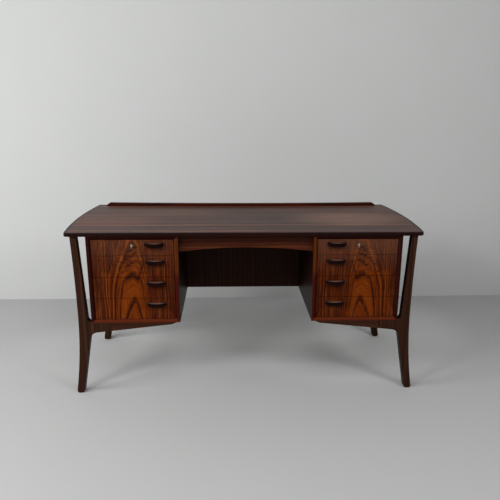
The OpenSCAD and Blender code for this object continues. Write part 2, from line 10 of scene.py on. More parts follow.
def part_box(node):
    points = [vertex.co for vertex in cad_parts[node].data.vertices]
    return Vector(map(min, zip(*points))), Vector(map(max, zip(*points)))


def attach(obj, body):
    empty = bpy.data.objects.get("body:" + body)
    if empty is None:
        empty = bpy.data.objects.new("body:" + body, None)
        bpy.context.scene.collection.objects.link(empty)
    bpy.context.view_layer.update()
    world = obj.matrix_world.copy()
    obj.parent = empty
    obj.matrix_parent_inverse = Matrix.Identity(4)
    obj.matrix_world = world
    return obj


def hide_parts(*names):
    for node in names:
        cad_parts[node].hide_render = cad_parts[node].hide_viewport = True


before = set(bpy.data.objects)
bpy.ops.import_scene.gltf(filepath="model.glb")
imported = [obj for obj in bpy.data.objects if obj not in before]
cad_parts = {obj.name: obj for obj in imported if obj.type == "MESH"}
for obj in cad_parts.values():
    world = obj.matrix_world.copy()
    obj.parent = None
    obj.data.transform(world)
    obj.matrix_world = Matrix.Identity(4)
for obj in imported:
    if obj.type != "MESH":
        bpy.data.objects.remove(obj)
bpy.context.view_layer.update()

ROOT_BODY = "desk"
SIDES = ("left", "right")
TIERS = (1, 2, 3, 4)

# Places that the looks depend on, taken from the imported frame, in metres
TOP_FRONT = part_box("top_front_lipping")[0][1]
CASE_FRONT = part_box("right_case_outer_side")[0][1]
CASE_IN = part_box("right_case_inner_side")[0][0]
CASE_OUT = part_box("right_case_outer_side")[1][0]
CASE_MID = (CASE_IN + CASE_OUT) / 2
CASE_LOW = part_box("right_case_bottom")[0][2]
CASE_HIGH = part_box("right_case_top")[1][2]
TENON_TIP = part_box("right_rails")[1][0]


def colour(code):
    """Linear RGBA of an sRGB colour written as rrggbb."""
    parts = [int(code[i:i + 2], 16) / 255 for i in (0, 2, 4)]
    linear = [p / 12.92 if p <= 0.04045 else ((p + 0.055) / 1.055) ** 2.4 for p in parts]
    return (*linear, 1.0)


# Camera: the frame in pixels, places in metres and turns in degrees

IMAGE_SIZE = 500
FOCAL_PX = 630.11
PRINCIPAL_PX = (261.62, 300.63)
SENSOR_MM = 36.0
CAMERA_X = -0.0746
CAMERA_FRONT = 2.5653
CAMERA_HEIGHT = 1.2503
CAMERA_PITCH = 17.8224
CAMERA_YAW = 3.1277
CAMERA_ROLL = 0.4592


def make_camera():
    pitch, yaw, roll = (math.radians(a) for a in (CAMERA_PITCH, CAMERA_YAW, CAMERA_ROLL))
    ahead = Vector((
        math.sin(yaw) * math.cos(pitch),
        math.cos(yaw) * math.cos(pitch),
        -math.sin(pitch),
    ))
    level = Vector((math.cos(yaw), -math.sin(yaw), 0))
    above = level.cross(ahead)
    right = math.cos(roll) * level + math.sin(roll) * above
    up = math.cos(roll) * above - math.sin(roll) * level
    data = bpy.data.cameras.new("camera")
    data.sensor_width = SENSOR_MM
    data.lens = FOCAL_PX / IMAGE_SIZE * SENSOR_MM
    data.shift_x = -(PRINCIPAL_PX[0] - IMAGE_SIZE / 2) / IMAGE_SIZE
    data.shift_y = (PRINCIPAL_PX[1] - IMAGE_SIZE / 2) / IMAGE_SIZE
    camera = bpy.data.objects.new("camera", data)
    place = Vector((CAMERA_X, TOP_FRONT - CAMERA_FRONT, CAMERA_HEIGHT))
    turn = Matrix((right, up, -ahead)).transposed()
    camera.matrix_world = Matrix.Translation(place) @ turn.to_4x4()
    bpy.context.collection.objects.link(camera)
    bpy.context.scene.camera = camera


# Materials

class Graph:
    """A material under construction: nodes are added and linked by short calls."""

    def __init__(self, name):
        self.material = bpy.data.materials.new(name)
        self.material.use_nodes = True
        self.tree = self.material.node_tree
        self.tree.nodes.clear()
        self.output = self.add("ShaderNodeOutputMaterial")
        self.shader = self.add("ShaderNodeBsdfPrincipled")
        self.tree.links.new(self.shader.outputs[0], self.output.inputs["Surface"])
        self.place = self.add("ShaderNodeTexCoord").outputs["Object"]

    def add(self, kind, **settings):
        node = self.tree.nodes.new(kind)
        for key, value in settings.items():
            setattr(node, key, value)
        return node

    def put(self, socket, value):
        """Links a socket to another one, or sets it to a number or colour."""
        if isinstance(value, bpy.types.NodeSocket):
            self.tree.links.new(value, socket)
        else:
            socket.default_value = value

    def set(self, **values):
        """Sets sockets of the surface shader, by their names with _ for a space."""
        for key, value in values.items():
            self.put(self.shader.inputs[key.replace("_", " ")], value)

    def math(self, operation, *values):
        node = self.add("ShaderNodeMath", operation=operation)
        for socket, value in zip(node.inputs, values):
            self.put(socket, value)
        return node.outputs[0]

    def plus(self, first, second):
        return self.math("ADD", first, second)

    def minus(self, first, second):
        return self.math("SUBTRACT", first, second)

    def times(self, product, *factors):
        for factor in factors:
            product = self.math("MULTIPLY", product, factor)
        return product

    def length(self, first, second):
        """Length of a line that goes so far in two directions at right angles."""
        return self.math("SQRT", self.plus(self.times(first, first), self.times(second, second)))

    def axes(self, vector=None):
        """Parts of a vector, or of the place on the object."""
        node = self.add("ShaderNodeSeparateXYZ")
        self.put(node.inputs[0], vector or self.place)
        return node.outputs

    def facing(self):
        """Parts of the direction in which the surface faces."""
        return self.axes(self.add("ShaderNodeNewGeometry").outputs["Normal"])

    def vector(self, *parts):
        node = self.add("ShaderNodeCombineXYZ")
        for socket, part in zip(node.inputs, parts):
            self.put(socket, part)
        return node.outputs[0]

    def stretched(self, places, rates):
        """Vector of three coordinates, each times its own rate."""
        return self.vector(*(self.times(place, rate) for place, rate in zip(places, rates)))

    def noise(self, place, scale=1.0, detail=2.0, rough=0.5, socket="Vector", **settings):
        node = self.add("ShaderNodeTexNoise", **settings)
        values = {socket: place, "Scale": scale, "Detail": detail, "Roughness": rough}
        for key, value in values.items():
            self.put(node.inputs[key], value)
        return node.outputs[0]

    def bands(self, value, scale, detail=2.0, rough=0.5):
        """Noise along a single value."""
        return self.noise(value, scale, detail, rough, "W", noise_dimensions="1D")

    def fit(self, value, low, high, to_low=0.0, to_high=1.0, smooth=True):
        """Value moved from the range low to high into another range, and held inside it."""
        node = self.add("ShaderNodeMapRange", clamp=True)
        node.interpolation_type = "SMOOTHSTEP" if smooth else "LINEAR"
        for socket, part in zip(node.inputs, (value, low, high, to_low, to_high)):
            self.put(socket, part)
        return node.outputs[0]

    def curve(self, value, points, spread, reach):
        """Smooth curve through points, each a pair within spread and reach."""
        node = self.add("ShaderNodeFloatCurve")
        places = [((a - spread[0]) / (spread[1] - spread[0]), (b - reach[0]) / (reach[1] - reach[0]))
                  for a, b in points]
        line = node.mapping.curves[0]
        while len(line.points) < len(places):
            line.points.new(0.5, 0.5)
        for point, place in zip(line.points, places):
            point.location = place
            point.handle_type = "AUTO_CLAMPED"
        node.mapping.extend = "HORIZONTAL"
        node.mapping.update()
        self.put(node.inputs["Value"], self.fit(value, *spread, smooth=False))
        return self.fit(node.outputs[0], 0.0, 1.0, *reach, smooth=False)

    def ramp(self, value, stops):
        node = self.add("ShaderNodeValToRGB")
        elements = node.color_ramp.elements
        while len(elements) < len(stops):
            elements.new(0.5)
        for element, (where, code) in zip(elements, stops):
            element.position = where
            element.color = colour(code)
        self.put(node.inputs[0], value)
        return node.outputs[0]

    def mix(self, share, first, second):
        node = self.add("ShaderNodeMix", data_type="RGBA")
        self.put(node.inputs["Factor"], share)
        self.put(node.inputs[6], first)
        self.put(node.inputs[7], second)
        return node.outputs[2]

    def stain(self, share, base, code):
        """Base colour with a share of a plain colour."""
        return self.mix(share, base, colour(code))

    def bump(self, height, strength, distance):
        node = self.add("ShaderNodeBump")
        self.put(node.inputs["Strength"], strength)
        self.put(node.inputs["Distance"], distance)
        self.put(node.inputs["Height"], height)
        self.put(self.shader.inputs["Normal"], node.outputs[0])


# Half width of the strip at the desk's middle in which values change from side to side
MIDDLE = 0.01


def by_side(g, left, right):
    """One value in the left half of the desk and another in the right half."""
    return g.fit(g.axes()[0], -MIDDLE, MIDDLE, left, right, smooth=False)


def off_middle(g, middle, half):
    """Squared distance from the middle of an area in plan, in half lengths of the area."""
    far = 0.0
    for place, centre, reach in zip(g.axes(), middle, half):
        part = g.math("DIVIDE", g.minus(place, centre), reach)
        far = g.plus(far, g.times(part, part))
    return far


# Wood

# Axes that lie across, across and along the grain, by the direction of the grain
GRAIN_ORDER = {"X": (1, 2, 0), "Y": (0, 2, 1), "Z": (0, 1, 2)}
# Metres by which a seed of 1 moves the first coordinate, with the second twice as far, and so on
SEED_STEP = 0.37

# Changes of each pattern in a metre: across, across and along the grain
FIBRE_RATES = (420.0, 420.0, 9.0)
CLOUD_RATES = (5.0, 5.0, 1.6)
PORE_RATES = (900.0, 900.0, 42.0)
DRIFT_RATES = (3.0, 3.0, 1.0)
DRIFT_SCALE = 2.2

# Shares of broad bands, fine lines and fibres in the tone
BROAD_SHARE = 0.62
LINE_SHARE = 0.26
FIBRE_SHARE = 0.12
# Roughness that the fibres and the pores bring, and the depth of both in metres
FIBRE_ROUGH = 0.12
PORE_ROUGH = 0.15
RELIEF_DEPTH = 0.00012
# Colour of the painted shade on faces that look towards the desk's middle
INWARD_SHADE_COLOUR = "050201"

# The usual wood: how fine its bands and lines are, how strong its dark lines, clouds and pores are,
# and its finish and tones. A higher gloss value is a duller surface.
ROSEWOOD = {
    "broad": 26.0,
    "fine": 190.0,
    "ink_scale": 34.0,
    "ink": 0.75,
    "ink_colour": "0e0503",
    "cloud": 0.35,
    "cloud_colour": "2a1009",
    "pores": 0.55,
    "gloss": 0.40,
    "specular": 0.075,
    "relief": 0.25,
    "tones": ((0.25, "2c140c"), (0.42, "5a2c18"), (0.55, "7c4020"), (0.75, "9a5426")),
}


def grain_places(g, axis, seed):
    """Coordinates across, across and along the grain, moved by a seed to another log."""
    parts = g.axes()
    return [g.plus(parts[i], seed * k * SEED_STEP) for k, i in enumerate(GRAIN_ORDER[axis], 1)]


def straight_rings(g, places, wander):
    """Ring field of a board sawn far from the heart: lines along the grain that wander a little."""
    u, v = places[:2]
    drift = g.noise(g.stretched(places, DRIFT_RATES), DRIFT_SCALE, 2.0)
    bow = g.times(g.minus(drift, 0.5), wander)
    heart = g.times(u, u, 0.6)
    return g.plus(g.plus(g.times(v, 0.8), u), g.plus(bow, heart))


def inward(g):
    """1 on faces that look towards the middle of the desk, which get painted shade."""
    return g.fit(g.times(g.facing()[0], by_side(g, 1.0, -1.0)), 0.5, 0.9)


def wood_surface(g, rings, places, **changes):
    """Colours, gloss and relief of wood, from its ring field and its coordinates.

    changes say where it differs from ROSEWOOD. One change darkens the faces towards the desk's
    middle with painted shade, and another gives the faces that look up a paler colour, a painted
    highlight.
    """
    style = {**ROSEWOOD, **changes}
    broad = g.bands(rings, style["broad"], 2.0, 0.55)
    lines = g.bands(rings, style["fine"], 3.0, 0.6)
    fibre = g.noise(g.stretched(places, FIBRE_RATES), 1.0, 3.0, 0.6)
    cloud = g.noise(g.stretched(places, CLOUD_RATES), 1.0, 2.0, 0.5)
    pores = g.fit(g.noise(g.stretched(places, PORE_RATES), 1.0, 1.0, 0.4), 0.63, 0.74)
    ink = g.fit(g.bands(g.plus(rings, 3.1), style["ink_scale"], 2.0, 0.5), 0.56, 0.68)
    tone = g.plus(g.times(broad, BROAD_SHARE), g.times(lines, LINE_SHARE))
    base = g.ramp(g.plus(tone, g.times(fibre, FIBRE_SHARE)), style["tones"])
    base = g.stain(g.times(ink, style["ink"]), base, style["ink_colour"])
    base = g.stain(g.times(g.fit(cloud, 0.35, 0.7), style["cloud"]), base, style["cloud_colour"])
    base = g.stain(g.times(pores, style["pores"]), base, style["ink_colour"])
    # Painted shade: faces that look towards the desk's middle are darkened
    if "inward" in style:
        base = g.stain(g.times(inward(g), style["inward"]), base, INWARD_SHADE_COLOUR)
    # Painted highlight: faces that look up get a paler colour
    if "worn" in style:
        painted_highlight = g.times(g.fit(g.facing()[2], 0.45, 1.0), g.fit(fibre, 0.2, 0.6, 0.5, 0.9))
        base = g.stain(painted_highlight, base, style["worn"])
    gloss = g.plus(g.times(fibre, FIBRE_ROUGH), style["gloss"] - FIBRE_ROUGH / 2)
    g.set(
        Base_Color=base,
        Roughness=g.plus(gloss, g.times(pores, PORE_ROUGH)),
        Specular_IOR_Level=style["specular"],
    )
    g.bump(g.minus(g.times(fibre, 0.35), pores), style["relief"], RELIEF_DEPTH)
    return base


# Solid front edges of the case boards: their depth, the width of the seam behind them, the height
# at which those of the inner sides change colour, and how far above and below it they do
EDGE_DEPTH = 0.009
EDGE_SEAM = 0.0005
EDGE_TURN = 0.54
EDGE_FADE = 0.02


def edge_strip(g, base, axis, low_code, high_code):
    """Colour of a case board with a solid front edge of one colour below and another above."""
    x, y, z = g.axes()
    grain = g.fit(g.bands(z if axis == "X" else x, 420.0, 3.0), 0.35, 0.65, 0.55, 1.0)
    rise = g.fit(z, EDGE_TURN - EDGE_FADE, EDGE_TURN + EDGE_FADE)
    strip = g.stain(g.minus(1.0, grain), g.mix(rise, colour(low_code), colour(high_code)), "0a0302")
    seam = CASE_FRONT + EDGE_DEPTH
    return g.mix(g.fit(y, seam, seam - EDGE_SEAM), base, strip)


def straight_wood(name, axis, seed, wander=0.02, edge=None, **changes):
    """Board with straight grain. edge gives a solid front edge: its lower and upper colour."""
    g = Graph(name)
    places = grain_places(g, axis, seed)
    base = wood_surface(g, straight_rings(g, places, wander), places, **changes)
    if edge:
        g.set(Base_Color=edge_strip(g, base, axis, *edge))
    return g.material


# The flame of the drawer fronts: rings of a crown-cut log about a pole below the case. Each ring is
# given by places across the flame and above the case's underside, in millimetres, from its inner
# foot over its crown to its outer foot. The shift is for the left and the right case.
FLAME_SHIFT = (-0.001, 0.019)
FLAME_POLE = -0.030
# Ranges of the angle at the pole and of the distance from it
RING_ANGLES = (math.radians(4), math.radians(173))
RING_REACH = (0.0, 0.60)
PEAK_RING = (
    (-33, -22), (-30, 10), (-24, 26), (-17, 53), (-9, 78), (-1, 100), (14, 78), (24, 58),
    (33, 38), (40, 22), (43, 10), (46, -22),
)
ARCH_RING = (
    (-42, -22), (-41, 10), (-38, 110), (-35, 150), (-31, 178), (-22, 193), (-13, 191), (-3, 200),
    (8, 206), (20, 202), (31, 196), (40, 190), (45, 177), (50, 155), (54, 138), (58, 113),
    (63, 73), (66, 23), (67, 8), (68, -22),
)
CROWN_RING = (
    (-59, -22), (-58, 10), (-54, 100), (-51, 200), (-47, 233), (-42, 273), (-35, 313), (-27, 363),
    (0, 440), (28, 392), (35, 363), (48, 333), (56, 313), (67, 283), (75, 258), (85, 233),
    (92, 215), (99, 190), (102, 143), (104, 73), (106, 8), (107, -22),
)
# Dark rings: ring number, softness, and strength in the left and the right case
DARK_RINGS = (
    (1.0, 0.16, 0.88, 0.85),
    (2.0, 0.13, 0.90, 0.85),
    (2.30, 0.045, 0.35, 0.45),
    (2.54, 0.12, 0.85, 0.55),
    (2.76, 0.040, 0.25, 0.45),
    (3.0, 0.14, 0.55, 0.92),
    (3.62, 0.12, 0.60, 0.55),
)
# Curls in the crown: places across the flame and above the case's underside, and softness, all in
# millimetres, and strength
CURLS = (
    (((-42, 270), (-33, 238), (-25, 215), (-14, 190)), 15.0, 0.80),
    (((-22, 280), (-14, 271), (-7, 273), (2, 262), (8, 262), (16, 252), (28, 252)), 6.0, 0.85),
    (((-14, 306), (-6, 300), (2, 301), (10, 289), (18, 288), (24, 278), (32, 280)), 6.0, 0.80),
    (((-18, 334), (-10, 326), (-2, 328), (8, 316), (20, 314)), 6.0, 0.50),
    (((16, 236), (24, 229), (34, 232), (42, 222), (52, 224)), 5.0, 0.40),
)
# Ranges of the curls across the flame and above the underside, in metres
CURL_SPREAD = (-0.06, 0.06)
CURL_REACH = (0.0, 0.40)
# A curl fades from so far inside its ends to so far outside them
CURL_FADE = (0.002, 0.006)


def front_noise(g, across, up, layer=0.0, detail=2.0, rough=0.5):
    """Noise on the fronts, mirrored from case to case: changes in a metre across and up.

    layer picks the pattern.
    """
    x, _, z = g.axes()
    place = g.vector(g.times(g.math("ABSOLUTE", x), across), layer, g.times(z, up))
    return g.noise(place, 1.0, detail, rough)


def ring_reach(g, angle, points):
    """Distance of a ring from the pole, by the angle at which it is seen from there."""
    polar = []
    for across, height in points:
        x, y = across / 1000, height / 1000 - FLAME_POLE
        polar.append((math.atan2(y, x), math.hypot(x, y)))
    return g.curve(angle, sorted(polar), RING_ANGLES, RING_REACH)


def flame_places(g):
    """Places across the flame and above the case's underside, a little disturbed."""
    x, _, z = g.axes()
    across = g.minus(g.minus(g.math("ABSOLUTE", x), CASE_MID), by_side(g, *FLAME_SHIFT))
    height = g.minus(z, CASE_LOW)
    slow = front_noise(g, 14.0, 7.0)
    quick = front_noise(g, 70.0, 34.0, 3.0, 3.0, 0.6)
    crown = g.times(g.fit(height, 0.18, 0.24), g.fit(g.math("ABSOLUTE", across), 0.07, 0.03))
    reach = g.plus(0.004, g.times(crown, 0.022))
    across = g.plus(across, g.times(g.minus(slow, 0.5), 0.008))
    height = g.plus(height, g.times(g.minus(quick, 0.5), reach))
    return across, height


def flame_rings(g, across, height):
    """Ring number at each point: 1 at the peak, 2 at the arch, 3 at the crown ring, more beyond."""
    rise = g.minus(height, FLAME_POLE)
    angle = g.math("ARCTAN2", rise, across)
    distance = g.length(rise, across)
    peak, arch, crown = (ring_reach(g, angle, ring) for ring in (PEAK_RING, ARCH_RING, CROWN_RING))
    inside, low, high = (
        g.fit(distance, start, end, smooth=False)
        for start, end in ((0.0, peak), (peak, arch), (arch, crown))
    )
    past = g.math("MAXIMUM", g.minus(g.math("DIVIDE", distance, crown), 1.0), 0.0)
    beyond = g.times(past, g.fit(across, -0.02, 0.02, 1.3, 2.6))
    return g.plus(g.plus(inside, g.plus(low, high)), beyond)


def line_at(g, value, at, soft):
    """1 where value is near at, and 0 where it is further off than soft."""
    return g.fit(g.math("ABSOLUTE", g.minus(value, at)), 0.25 * soft, soft, 1.0, 0.0)


def draw_rings(g, base, rings, smudge):
    """Dark rings, stronger and weaker along their way."""
    for at, soft, *strengths in DARK_RINGS:
        share = g.times(line_at(g, rings, at, soft), g.fit(smudge, 0.2, 0.6, 0.45, 1.0))
        base = g.stain(g.times(share, by_side(g, *strengths)), base, "1e0803")
    return base


def draw_crown(g, base, rings, height):
    """Light and dark spots between the arch and the crown ring."""
    crown = g.times(g.fit(rings, 2.02, 2.16), g.fit(height, 0.17, 0.23), g.fit(rings, 3.1, 2.9))
    spots = front_noise(g, 55.0, 85.0, 0.0, 3.0, 0.6)
    base = g.stain(g.times(crown, g.fit(spots, 0.48, 0.66, 0.0, 0.35)), base, "80470f")
    return g.stain(g.times(crown, g.fit(spots, 0.52, 0.34, 0.0, 0.60)), base, "3a0f06")


def draw_flanks(g, base, rings, across, height, smudge):
    """Dusky wood outside the crown ring, except low down near it, with fine upright lines."""
    streaks = g.fit(g.bands(g.plus(rings, 0.7), 11.0, 3.0, 0.6), 0.40, 0.60)
    dusk = g.mix(streaks, colour("130401"), colour("58230a"))
    flank = g.fit(rings, 3.02, 3.12)
    tongue = g.times(g.fit(across, 0.132, 0.128), g.minus(1.0, g.fit(height, 0.215, 0.228)))
    outer = g.times(flank, g.fit(across, 0.0, 0.02), g.minus(1.0, tongue))
    inner = g.times(flank, g.fit(across, -0.02, -0.06))
    base = g.mix(g.times(flank, 0.25), base, dusk)
    base = g.mix(g.times(outer, 0.85), base, dusk)
    base = g.mix(g.times(inner, 0.80), base, g.mix(streaks, colour("1c0502"), colour("521b05")))
    sway = g.times(front_noise(g, 9.0, 5.0, 1.0), 0.022)
    grain = g.bands(g.plus(g.math("ABSOLUTE", g.axes()[0]), sway), 150.0, 2.0, 0.6)
    lined = g.times(flank, g.fit(smudge, 0.30, 0.62, 0.25, 1.0))
    base = g.stain(g.times(lined, g.fit(grain, 0.50, 0.36, 0.0, 0.70)), base, "1a0703")
    return g.stain(g.times(lined, g.fit(grain, 0.52, 0.66, 0.0, 0.36)), base, "8c4c24")


def draw_curls(g, base, across, height):
    """Dark curls inside the crown."""
    within, beyond = CURL_FADE
    for points, soft, strength in CURLS:
        places = [(a / 1000, h / 1000) for a, h in points]
        start, end = places[0][0], places[-1][0]
        level = g.curve(across, places, CURL_SPREAD, CURL_REACH)
        ends = g.times(g.fit(across, start - beyond, start + within),
                       g.fit(across, end + beyond, end - within))
        share = g.times(line_at(g, height, level, soft / 1000), ends, strength)
        base = g.stain(share, base, "260b05")
    return base


def flame_wood(name):
    g = Graph(name)
    across, height = flame_places(g)
    rings = flame_rings(g, across, height)
    x, y, z = g.axes()
    base = wood_surface(
        g, rings, (g.math("ABSOLUTE", x), y, z), broad=5.0, fine=30.0, ink_scale=9.0, ink=0.45,
        ink_colour="220903", cloud=0.0, gloss=0.34, specular=0.05,
        tones=((0.30, "3a1302"), (0.45, "5e2402"), (0.57, "6e2d04"), (0.72, "87400c")))
    calm = g.times(g.fit(rings, 1.10, 1.25), g.fit(rings, 1.90, 1.75))
    base = g.stain(g.times(calm, 0.55), base, "6e3005")
    smudge = front_noise(g, 50.0, 12.0)
    base = draw_rings(g, base, rings, smudge)
    base = draw_crown(g, base, rings, height)
    base = draw_flanks(g, base, rings, across, height, smudge)
    mottle = front_noise(g, 26.0, 9.0, 5.0, 3.0, 0.6)
    base = g.stain(g.fit(mottle, 0.52, 0.32, 0.0, 0.55), base, "2c0c03")
    base = g.stain(g.fit(mottle, 0.52, 0.72, 0.0, 0.22), base, "8e4a18")
    # Painted sheen: the upper part of the fronts turns greyer, more in the right case than in the
    # left
    painted_sheen = g.times(g.fit(height, 0.20, 0.37), by_side(g, 0.25, 0.45))
    base = g.stain(painted_sheen, base, "664434")
    g.set(Base_Color=draw_curls(g, base, across, height))
    return g.material


# Warm and dark areas of the top: middle and half lengths in metres, colour and strength
TOP_AREAS = (
    ((0.48, -0.03), (0.18, 0.11), "8a6450", 0.50),
    ((0.22, -0.12), (0.11, 0.18), "1c1416", 0.30),
    ((0.02, 0.02), (0.16, 0.16), "2a1e1c", 0.30),
    ((0.45, -0.32), (0.36, 0.07), "20161a", 0.40),
    ((-0.60, -0.08), (0.16, 0.10), "74402f", 0.35),
    ((-0.35, 0.12), (0.16, 0.06), "75503c", 0.25),
    ((-0.50, -0.30), (0.24, 0.06), "2a1a1c", 0.30),
)
# An area fades between these squared distances, after noise of this height moved its outline
TOP_FADE = (3.6, -0.4)
TOP_DRIFT = 4.0


def top_wood(name):
    g = Graph(name)
    places = grain_places(g, "X", 1.0)
    base = wood_surface(
        g, straight_rings(g, places, 0.06), places, gloss=0.36, specular=0.07, broad=20.0,
        fine=110.0, ink=0.65, ink_scale=26.0, ink_colour="140a08", cloud=0.25,
        tones=((0.34, "1b0d09"), (0.46, "3c2119"), (0.56, "563224"), (0.66, "7e4d37")))
    x, y, _ = g.axes()
    drift = g.noise(g.vector(g.times(x, 3.0), g.times(y, 22.0), 0.0), 1.0, 3.0)
    drift = g.times(g.minus(drift, 0.5), TOP_DRIFT)
    for middle, half, code, strength in TOP_AREAS:
        far = g.plus(off_middle(g, middle, half), drift)
        base = g.stain(g.fit(far, *TOP_FADE, 0.0, strength), base, code)
    g.set(Base_Color=base)
    return g.material


# Fine scratches in metal: changes in a metre along x, y and z, and their depth
SCRATCH_RATES = (2600.0, 1.0, 300.0)
SCRATCH_DEPTH = 0.00003


def metal(name, code, gloss, wear_code):
    g = Graph(name)
    worn = g.noise(g.place, 260.0, 4.0, 0.6)
    lines = g.noise(g.stretched(g.axes(), SCRATCH_RATES), 1.0, 2.0)
    g.set(
        Base_Color=g.mix(g.fit(worn, 0.45, 0.75), colour(code), colour(wear_code)),
        Metallic=1.0,
        Roughness=g.plus(g.times(lines, 0.18), gloss),
    )
    g.bump(lines, 0.15, SCRATCH_DEPTH)
    return g.material


def dress(material, *nodes):
    """Gives CAD nodes a material."""
    for node in nodes:
        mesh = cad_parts[node].data
        mesh.materials.clear()
        mesh.materials.append(material)


def both(pattern):
    """Names of a node of each side."""
    return [pattern.format(side) for side in SIDES]


# Pieces with eased edges, cut from the CAD solids: the most that an edge is rounded, in metres. A
# piece with short edges, such as a leg or a rail, is rounded less all over.
FRONT_EASE = 0.0008
PULL_EASE = 0.0014
LEG_EASE = 0.003
# Points nearer than this are one, and edges flatter than this are none
SAME_POINT = 2e-6
FLAT_EDGE = math.radians(0.05)
# Edges that are rounded, and edges that still show as sharp afterwards
SHARP_EDGE = math.radians(32)
CREASE = math.radians(50)


def eased(node, width, material, body, segments=3, keep=None, carve=None):
    """Copy of a CAD node with rounded arrises, except where keep(middle of an edge) says so.

    carve(mesh) changes the form before that.
    """
    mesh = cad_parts[node].data.copy()
    shape = bmesh.new()
    shape.from_mesh(mesh)
    bmesh.ops.remove_doubles(shape, verts=shape.verts, dist=SAME_POINT)
    bmesh.ops.dissolve_limit(shape, angle_limit=FLAT_EDGE, verts=shape.verts, edges=shape.edges)
    if carve:
        carve(shape)
    sharp = [
        e for e in shape.edges
        if len(e.link_faces) == 2 and e.calc_face_angle(0) > SHARP_EDGE
        and not (keep and keep((e.verts[0].co + e.verts[1].co) / 2))
    ]
    bmesh.ops.bevel(shape, geom=sharp, offset=width, offset_type="OFFSET", segments=segments,
                    profile=0.5, affect="EDGES", clamp_overlap=True)
    for face in shape.faces:
        face.smooth = True
    shape.to_mesh(mesh)
    shape.free()
    mesh.set_sharp_from_angle(angle=CREASE)
    mesh.materials.clear()
    mesh.materials.append(material)
    piece = bpy.data.objects.new(node + "_eased", mesh)
    bpy.context.collection.objects.link(piece)
    normals = piece.modifiers.new("normals", "WEIGHTED_NORMAL")
    normals.keep_sharp = True
    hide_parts(node)
    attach(piece, body)


# Length over which a pull's ends are drawn in, the shares of it where the pull is cut for that, and
# the shares of its size that each end loses in front and below
PULL_TAPER = 0.016
PULL_CUTS = (0.15, 0.3, 0.45, 0.6, 0.8, 1.0)
PULL_DRAW = (0.38, 0.30)


def draw_in_ends(shape):
    """Draws in the front and the underside of a pull towards its ends."""
    places = [v.co for v in shape.verts]
    low, high = (Vector(pick(p[i] for p in places) for i in range(3)) for pick in (min, max))
    for end, step in ((low.x, PULL_TAPER), (high.x, -PULL_TAPER)):
        for part in PULL_CUTS:
            bmesh.ops.bisect_plane(shape, geom=shape.verts[:] + shape.edges[:] + shape.faces[:],
                                   plane_co=(end + step * part, 0, 0), plane_no=(1, 0, 0))
    for vert in shape.verts:
        near = max(0.0, 1 - min(vert.co.x - low.x, high.x - vert.co.x) / PULL_TAPER)
        vert.co.y += (high.y - vert.co.y) * PULL_DRAW[0] * near ** 2
        vert.co.z += (high.z - vert.co.z) * PULL_DRAW[1] * near ** 2


def make_fronts():
    veneer = flame_wood("front_veneer")
    # The pulls' faces that look up get a paler colour, a painted highlight
    dark = straight_wood(
        "pull_wood", "X", 4.0, gloss=0.26, specular=0.06, ink=0.5, cloud_colour="120504",
        worn="7e5c50", tones=((0.3, "060201"), (0.5, "0e0302"), (0.7, "1e0806")))
    for side in SIDES:
        for tier in TIERS:
            body = f"{side}_drawer_{tier}"
            eased(body + "_front", FRONT_EASE, veneer, body, 2)
            eased(body + "_pull", PULL_EASE, dark, body, carve=draw_in_ends)


# Edges that stay sharp: so near the depth of the tenons' tips in a leg, so near the case in a leg or
# a rail, and in a rail all from a little behind its shoulder to its tenon's tip
TIP_NEAR = 0.0005
CASE_NEAR = 0.0003
SHOULDER = 0.0315


def meets_case(middle):
    return abs(middle.z - CASE_LOW) < CASE_NEAR


def leg_joined(middle):
    at_tip = abs(abs(middle.x) - TENON_TIP) < TIP_NEAR
    return at_tip or meets_case(middle) or middle.z > CASE_HIGH - CASE_NEAR


def rail_joined(middle):
    return abs(middle.x) > TENON_TIP - SHOULDER or meets_case(middle)


def make_legs():
    # The legs' faces that look towards the desk's middle get painted shade
    upright = straight_wood(
        "leg_wood", "Z", 7.0, gloss=0.42, broad=20.0, ink=0.5, inward=0.85,
        tones=((0.25, "1a0c07"), (0.45, "2c180f"), (0.6, "3c2214"), (0.8, "4c2e1e")))
    lying = straight_wood(
        "rail_wood", "X", 9.0, gloss=0.42, broad=20.0, ink=0.5,
        tones=((0.25, "1a0c07"), (0.45, "2e180e"), (0.6, "402414"), (0.8, "52301c")))
    for side in SIDES:
        for end in ("front", "back"):
            eased(f"{end}_{side}_leg", LEG_EASE, upright, ROOT_BODY, keep=leg_joined)
        eased(f"{side}_rails", LEG_EASE, lying, ROOT_BODY, keep=rail_joined)


LIPPING_TONES = ((0.25, "0e0302"), (0.5, "180604"), (0.8, "240b08"))
CASE_TONES = ((0.25, "200a04"), (0.45, "3a1406"), (0.6, "4b1f06"), (0.8, "5f2c0a"))
# Boards of a case: node, direction of the grain, seed, colours of the front edge, other changes
CASE_BOARDS = (
    ("case_outer_side", "Z", 6.0, ("2c0602", "2c0602"), {}),
    # The inner sides' faces that look towards the kneehole get painted shade
    ("case_inner_side", "Z", 6.2, ("400f06", "58280b"), {"inward": 0.8}),
    ("case_back", "Z", 6.4, None, {}),
    # The case top's front edge is painted dark: a painted shadow of the top's overhang
    ("case_top", "X", 6.6, ("2a0603", "2a0603"), {}),
    ("case_bottom", "X", 6.8, ("5c240d", "5c240d"), {}),
)


